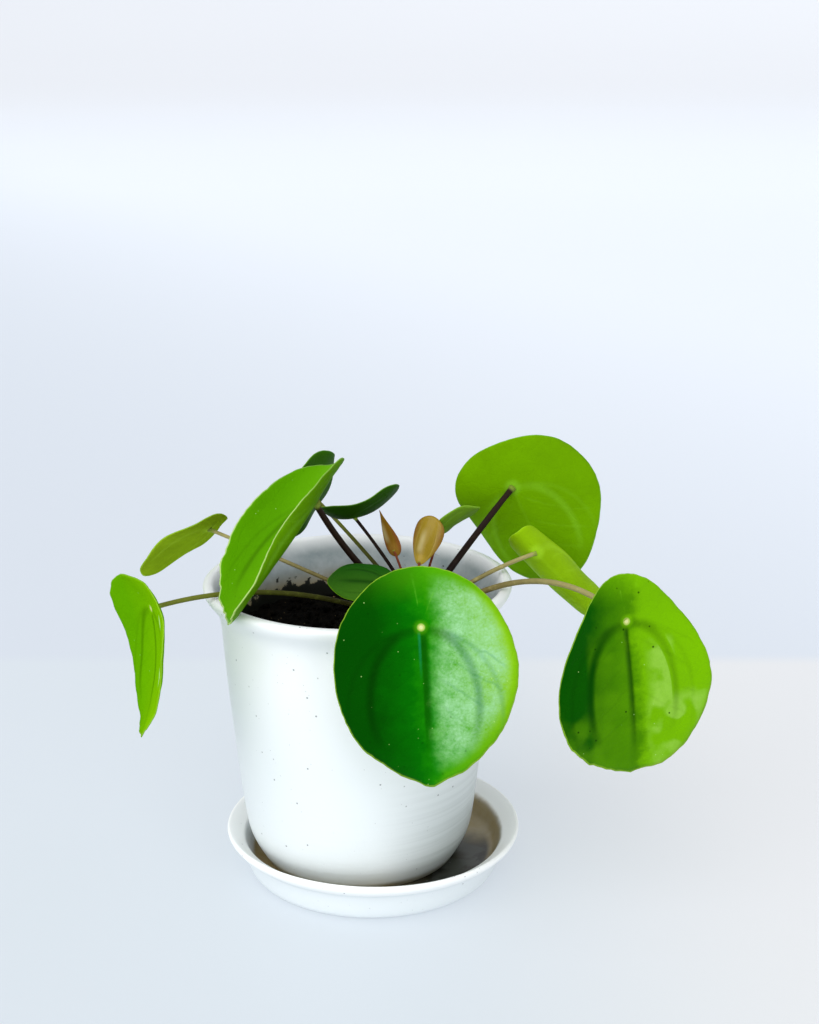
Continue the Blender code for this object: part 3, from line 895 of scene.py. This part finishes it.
def makeBlade(name, leaf, seed):
    small = leaf["length"] < sheet["smallBelow"]
    rings = sheet["smallRings"] if small else sheet["rings"]
    sides = sheet["smallSides"] if small else sheet["sides"]
    blade = ringedDisc(sides, rings, 1.0)
    endEdit()
    mesh = blade.data
    points, places, shares = [], [], []
    for vert in mesh.vertices:
        share = min(1.0, hypot(vert.co.x, vert.co.y))
        point, place = bladePoint(leaf, share, atan2(vert.co.y, vert.co.x), seed)
        points.extend(point)
        places.extend(place)
        shares.append(share)
    mesh.vertices.foreach_set("co", points)
    mesh.attributes.new("leafPlace", "FLOAT_VECTOR", "POINT").data.foreach_set("vector", places)
    mesh.update()
    group = blade.vertex_groups.new(name="thick")
    for index, share in enumerate(shares):
        group.add([index], 1.0 if share < 0.93 else 0.45 + 0.55 * (1 - share) / 0.07, "REPLACE")
    normals = [vert.normal.copy() for vert in mesh.vertices]
    count = len(normals)
    thicken = blade.modifiers.new("thickness", "SOLIDIFY")
    thicken.thickness = sheet["thickness"]
    thicken.offset = 0.0
    thicken.vertex_group = "thick"
    applyAll(blade)
    mesh = blade.data
    sides = mesh.attributes.new("upperSide", "FLOAT", "POINT")
    for index in range(count):
        apart = mesh.vertices[index].co - mesh.vertices[index + count].co
        first = apart.dot(normals[index]) > 0
        sides.data[index].value = float(first)
        sides.data[index + count].value = float(not first)
    mesh.shade_smooth()
    blade.vertex_groups.clear()
    finished(blade, "leaf_" + name, leafSkin(name, leaf, seed), "blade_" + name)


def faded(colour, share, lift=0.0):
    return tuple(min(1.0, channel * share + lift) for channel in colour)


def leafSkin(name, leaf, seed):
    made, tree, shader = newMaterial("leafSkin_" + name)
    across, along, share = parts(attribute(tree, "leafPlace", "Vector"))
    upper = attribute(tree, "upperSide", "Fac").ramp(0.4, 0.6)
    width, length = leaf["width"], leaf["length"]
    fresh, under = leaf["fresh"], leaf["under"]
    flat = stretched(across, along, seed * 0.1)
    fromSeat = (across * across + along * along) ** 0.5
    side = across / (width / 2)
    young = name in sheet["young"]
    cloud = noiseOn(flat, 55, 4.0)
    mottle = noiseOn(flat, 260, 4.0, 0.6)
    grain = noiseOn(flat, 1100, 3.0)

    # veins: a midrib, two arched pairs, fine rays and a net between them
    size = length * (1 - leaf["seat"])
    midrib = across.line(0.0, bladeFinish["midrib"]) * along.ramp(0.0, 0.003)
    midrib = midrib * along.ramp(size * 0.98, size * 0.6)
    outward = across.maths("ABSOLUTE", across)

    def arch(half, reach, thin):  # an oval round the midrib that fades out before the tip
        middle = reach * size / 2
        oval = ((across / (half * width)) ** 2 + ((along - middle) / middle) ** 2) ** 0.5
        ends = along.ramp(-0.002, 0.004) * along.ramp(size * 0.86, size * 0.55)
        return oval.line(1.0, thin) * ends

    inner = arch(0.295, 1.02, 0.13)
    outer = arch(0.42, 1.15, 0.06)
    angle = across.maths("ARCTAN2", across, along)
    spin = angle * 13.0 + cloud * 3.0
    rays = spin.maths("COSINE", spin).ramp(0.92, 1.0) * fromSeat.ramp(0.003, 0.007)
    rays = rays * mottle.ramp(0.42, 0.60) * share.ramp(1.0, 0.5)
    rays = rays * (along * -1.0 - outward * 1.6).ramp(0.0, 0.003)
    net = cells(flat, bladeFinish["netPerMetre"], feature="DISTANCE_TO_EDGE")
    slant = (along - outward * 0.7 + (cloud - 0.5) * 0.010) * bladeFinish["ribsPerMetre"]
    ribs = slant.maths("FRACT", slant).line(0.5, 0.11) * outward.ramp(0.001, 0.004)
    ribs = ribs * share.ramp(0.98, 0.75) * along.ramp(0.001, 0.006) * cloud.ramp(0.35, 0.55)
    fineNet = net.ramp(0.09, 0.0)
    veins = (midrib * 0.3 + inner * 0.9 + outer * 0.3).clamp()

    # upper side, from the left edge to the right; given bands are partly the leaf's tone and partly
    # painted light, one half lighter
    stops = leaf.get("bands") or [(0.15, leaf["deep"]), (0.85, fresh)]
    place = side * 0.5 + 0.5 + (cloud - 0.5) * 0.30 + (mottle - 0.5) * 0.12
    top = place.node("ShaderNodeValToRGB", {0: place.clamp()}, stops=stops)
    crown = (along / length + (cloud - 0.5) * 0.1).ramp(-0.08, -0.26) * side.ramp(-0.9, 0.2)
    top = mixed((crown * 0.55).clamp(), top, fresh)
    darker = faded(stops[0][1], 0.55)
    pale = faded(fresh, 1.35, 0.02)
    if "quilt" in leaf:  # paler puffed patches between the veins of the lit half
        pad = parts(cells(flat, 170, out="Color", feature="SMOOTH_F1", loose=0.8))[0]
        inward = inner.ramp(0.25, 0.0) * side.ramp(0.16, 0.34) * side.ramp(0.62, 0.50)
        inward = inward * along.ramp(0.006, 0.010)
        lower = side.ramp(0.12, 0.30) * along.ramp(0.026, 0.032) * share.ramp(1.02, 0.94)
        puffed = (pad + (cloud - 0.5) * 0.6 + (mottle - 0.5) * 0.15).ramp(0.30, 0.56)
        patch = (inward + lower).clamp() * puffed
        top = mixed((patch * leaf["quilt"] * (0.45 + mottle)).clamp(), top, (0.27, 0.53, 0.06))
        olive = side.ramp(-0.62, -0.50) * side.ramp(0.0, -0.12)
        olive = olive * along.ramp(0.002, 0.012) * (1 - inner)
        top = mixed((olive * (pad * 0.6 + 0.25)).clamp(), top, (0.075, 0.24, 0.001))
        belly = side.ramp(-0.1, -0.4) * along.ramp(0.022, 0.036)
        belly = belly * (cloud + pad * 0.5).ramp(0.5, 0.9)
        top = mixed(belly * 0.7, top, (0.07, 0.23, 0.001))
    if "paintedSheen" in leaf:  # painted sheen: a cool reflection painted on one half, with the veins as teal streaks in it
        lead = side - (along / length).ramp(0.0, 0.25) * -0.05
        sheen = (lead + (cloud - 0.5) * 0.25 + (mottle - 0.5) * 0.10).ramp(0.07, 0.38)
        sheen = sheen * share.ramp(0.96, 0.80) * (along / length).ramp(-0.27, -0.15)
        blotch = noiseOn(flat, 130, 5.0, 0.7)
        sheen = sheen * (0.74 + 2.6 * (blotch - 0.5) + 1.3 * (grain - 0.5) - 0.08 * fineNet)
        top = mixed((sheen * leaf["paintedSheen"]).clamp(), top, (0.29, 0.585, 0.29))
        streak = (inner * 0.8 + outer * 0.4 + ribs * 0.5) * side.ramp(0.15, 0.4)
        streak = streak * (cloud + mottle - 0.3)
        top = mixed((streak * 0.65).clamp(), top, (0.060, 0.30, 0.14))
        # painted highlight: a teal glint beside the midrib
        groove = across.line(-0.0008, 0.0007) * along.ramp(0.001, 0.0025) * along.ramp(0.018, 0.006)
        top = mixed((groove * 0.5).clamp(), top, (0.010, 0.24, 0.10))
    if "glints" in leaf:  # painted highlights: bright glossy streaks at named places
        for gx, gy, turn, long, wide in leaf["glints"]:
            u = (across - gx) * cos(turn) + (along - gy) * sin(turn)
            v = (along - gy) * cos(turn) - (across - gx) * sin(turn)
            spot = ((u / wide) ** 2 + (v / long) ** 2) ** 0.5 + (mottle - 0.5) * 1.2
            top = mixed(spot.ramp(1.0, 0.5) * 0.8, top, (0.62, 0.82, 0.40))
    # painted shade: the midrib's shadow lies beside it
    valley = across.line(leaf.get("valley", 0.0), bladeFinish["valley"]) * along.ramp(0.0, 0.004)
    valley = valley * along.ramp(size, size * 0.5)
    shaded = veins * side.ramp(0.5, 0.0) * 0.42 + veins * 0.30 + ribs * 0.08 + valley * 0.60
    top = mixed(shaded.clamp(), top, darker)
    top = mixed((rays * 0.30).clamp(), top, pale)
    many = bladeFinish["flecksPerMetre"]
    chosen = parts(cells(flat, many, out="Color"))[0] > leaf.get("flecks", 0.86)
    top = mixed(cells(flat, many).ramp(0.11, 0.05) * chosen * 0.6, top, bladeFinish["fleck"])
    many = bladeFinish["poresPerMetre"]
    chosen = parts(cells(flat, many, out="Color"))[1] > 0.55
    pores = cells(flat, many).ramp(0.12, 0.06) * chosen
    top = mixed(pores * leaf.get("pores", 0.2), top, faded(darker, 0.5))
    ragged = share + (mottle - 0.5) * 0.02
    rim = ragged.ramp(*bladeFinish["rim"])
    if "margin" in leaf:  # a pale margin is weaker at the base end
        rim = rim * (0.35 + 0.65 * along.ramp(-0.006, 0.012))
    top = mixed((share.ramp(0.90, 0.985) * (0.35 * side.ramp(-0.1, 0.5))).clamp(), top, fresh)
    top = mixed(rim * 0.8, top, leaf.get("margin", (0.26, 0.46, 0.03)))
    if not young:
        top = mixed(fromSeat.ramp(*bladeFinish["seatGlow"]) * 0.45, top, faded(fresh, 1.2))
        top = mixed(fromSeat.ramp(*bladeFinish["seatRing"]), top, bladeFinish["seatLime"])
        top = mixed(fromSeat.ramp(*bladeFinish["seatCore"]) * 0.8, top, bladeFinish["seatCream"])

    # underside
    paleUnder = faded(under, 1.3, 0.02)
    low = mixed((cloud + (mottle - 0.5) * 0.3).ramp(0.3, 0.75), faded(under, 0.84), under)
    low = mixed((veins * 0.4 + ribs * 0.15).clamp(), low, paleUnder)
    low = mixed(fromSeat.ramp(0.0040, 0.0012) * 0.6, low, paleUnder)
    low = mixed(rim * 0.6, low, leaf.get("margin", paleUnder))
    if young:  # redder edges and a soft highlight down the middle
        edges = side.maths("ABSOLUTE", side).ramp(0.45, 1.0)
        low = mixed(edges * 0.7, low, faded(leaf["margin"], 1.2))
        shine = across.line(-0.0012, 0.0016) * along.ramp(0.002, 0.005) * along.ramp(0.013, 0.008)
        low = mixed(shine * 0.6, low, (0.62, 0.52, 0.24))
    colour = mixed(upper, low, top)

    height = (1 - veins) * 0.45 + (1 - fineNet) * 0.14 + (1 - ribs) * 0.12
    height = height + grain * 0.10 + mottle * 0.25
    rough = 0.40 + 0.14 * mottle + (1 - upper) * 0.10
    normal = bumped(height, bladeFinish["bump"])
    connect(tree, shader, Base_Color=colour, Roughness=rough, Normal=normal)
    shader.inputs["Specular IOR Level"].default_value = leaf.get("shine", 0.06)
    shader.inputs["Specular Tint"].default_value = (0.35, 0.75, 0.15, 1)
    shader.inputs["Coat Weight"].default_value = leaf.get("gloss", 0.0)
    shader.inputs["Coat Roughness"].default_value = 0.16
    return made


def stalkPath(leaf, steps):
    through = Vector(leaf["through"])
    face = axesOf(leaf)[2]
    root = Vector((*stem["centre"], leaf["rise"]))
    out = through - root
    outward = Vector((out.x, out.y, 0)).normalized()
    start = root + outward * (stemRadius(leaf["rise"]) - 0.0002)
    seat = Vector(leaf["at"])
    end = seat - face * (sheet["thickness"] / 2 + 0.0001)
    bow = 2 * through - (start + end) / 2
    points = []
    for step in range(steps):
        t = step / (steps - 1)
        points.append((1 - t) ** 2 * start + 2 * t * (1 - t) * bow + t ** 2 * end)
    return points


def makeStalk(name, leaf):
    steps = sheet["stalkSteps"]
    points = stalkPath(leaf, steps)
    bpy.ops.object.select_all(action="DESELECT")
    curve = bpy.data.curves.new("stalk", "CURVE")
    curve.dimensions = "3D"
    curve.bevel_depth = leaf["thick"]
    curve.bevel_resolution = 4
    curve.use_fill_caps = True
    spline = curve.splines.new("POLY")
    spline.points.add(steps - 1)
    for step, (point, where) in enumerate(zip(spline.points, points)):
        share = step / (steps - 1)
        point.co = (*where, 1)
        sheath = 0.45 * exp(-(share / 0.05) ** 2)
        collar = 0.30 * exp(-((1 - share) / 0.02) ** 2)
        uneven = 0.05 * noise.noise(where * 160)
        point.radius = 1 - (1 - sheet["taper"]) * share + sheath + collar + uneven
    tube = bpy.data.objects.new("stalk", curve)
    bpy.context.scene.collection.objects.link(tube)
    tube.select_set(True)
    bpy.context.view_layer.objects.active = tube
    bpy.ops.object.convert(target="MESH")
    tube = bpy.context.active_object
    startEdit(tube)
    bpy.ops.mesh.select_all(action="SELECT")
    bpy.ops.mesh.remove_doubles(threshold=0.000001)
    bpy.ops.mesh.normals_make_consistent(inside=False)
    endEdit()
    mesh = tube.data
    marks = mesh.attributes.new("alongStalk", "FLOAT", "POINT")
    for vert, mark in zip(mesh.vertices, marks.data):
        nearest = min(range(steps), key=lambda step: (points[step] - vert.co).length_squared)
        mark.value = nearest / (steps - 1)
    mesh.shade_smooth()
    finished(tube, "petiole_" + name, stalkSkin(name, leaf), "stalk_" + name)


def stalkSkin(name, leaf):
    made, tree, shader = newMaterial("stalkSkin_" + name)
    where = coordinates(tree)
    share = attribute(tree, "alongStalk", "Fac")
    low, high = stalkColours[leaf["stalk"]]
    streak = noiseOn(where, 380, 4.0, 0.6)
    colour = mixed((share + (streak - 0.5) * 0.4).ramp(0.05, 0.95), low, high)
    colour = mixed((streak.ramp(0.55, 0.75) * 0.35).clamp(), colour, faded(high, 1.6, 0.01))
    colour = mixed(share.ramp(0.955, 0.985) * 0.8, colour, (0.24, 0.34, 0.04))
    normal = bumped(noiseOn(where, 900, 3.0), 0.0001)
    connect(tree, shader, Base_Color=colour, Roughness=0.42 + 0.15 * streak, Normal=normal)
    shader.inputs["Specular IOR Level"].default_value = 0.10
    return made


def makeLeaves():
    for seed, (name, leaf) in enumerate(leaves.items(), 1):
        makeBlade(name, leaf, seed)
        makeStalk(name, leaf)
    print("leaves done")


floor = {
    "tableLeft": (0.322, 0.350, 0.378),
    "tableRightPaintedLight": (0.366, 0.374, 0.386),
    "wallLow": (0.312, 0.338, 0.375),
    "wallHigh": (0.385, 0.410, 0.450),
    "coveTone": (0.352, 0.364, 0.387),
    "glow": 1.2,
    "edge": 0.20,
    "radius": 2.6,
    "cove": [  # radius, height
        (2.9, 0.01), (3.2, 0.04), (3.5, 0.10), (3.75, 0.20), (3.9, 0.34), (4.0, 0.52),
    ],
}


def makeFloor():
    bpy.ops.object.select_all(action="DESELECT")
    bpy.ops.mesh.primitive_circle_add(vertices=96, radius=floor["radius"], fill_type="NGON",
                                      location=(0, 0, 0))
    table = bpy.context.active_object
    startEdit(table)
    bpy.ops.mesh.select_all(action="SELECT")
    radius, height = floor["radius"], 0.0
    for nextRadius, nextHeight in floor["cove"]:
        bpy.ops.mesh.extrude_edges_move()
        share = nextRadius / radius
        bpy.ops.transform.resize(value=(share, share, 1), center_override=(0, 0, height))
        bpy.ops.transform.translate(value=(0, 0, nextHeight - height))
        radius, height = nextRadius, nextHeight
    endEdit()
    table.data.shade_smooth()
    made, tree, shader = newMaterial("paleTable")
    x, y, z = parts(coordinates(tree))
    wall = mixed((y * 0.55 + x * 0.9).ramp(0.0, 1.0), floor["wallLow"], floor["wallHigh"])
    wall = mixed(z.ramp(-0.02, 0.16), wall, floor["coveTone"])
    # painted light: the table is lighter on the right, where the plant's shadow falls
    near = mixed(x.ramp(0.00, 0.16), floor["tableLeft"], floor["tableRightPaintedLight"])
    colour = mixed(y.ramp(floor["edge"] - 0.006, floor["edge"] + 0.012), near, wall)
    # painted light: the floor glows in its own colour, which lifts the shadows on it
    connect(tree, shader, Base_Color=colour, Emission_Color=colour, Roughness=0.45)
    shader.inputs["Emission Strength"].default_value = floor["glow"]
    shader.inputs["Specular IOR Level"].default_value = 0.2
    table.name = "floor"
    table.data.materials.append(made)


addCamera()
addLights()
makeFloor()
makeSaucer()
makePot()
makeSoil()
makeStem()
makeLeaves()
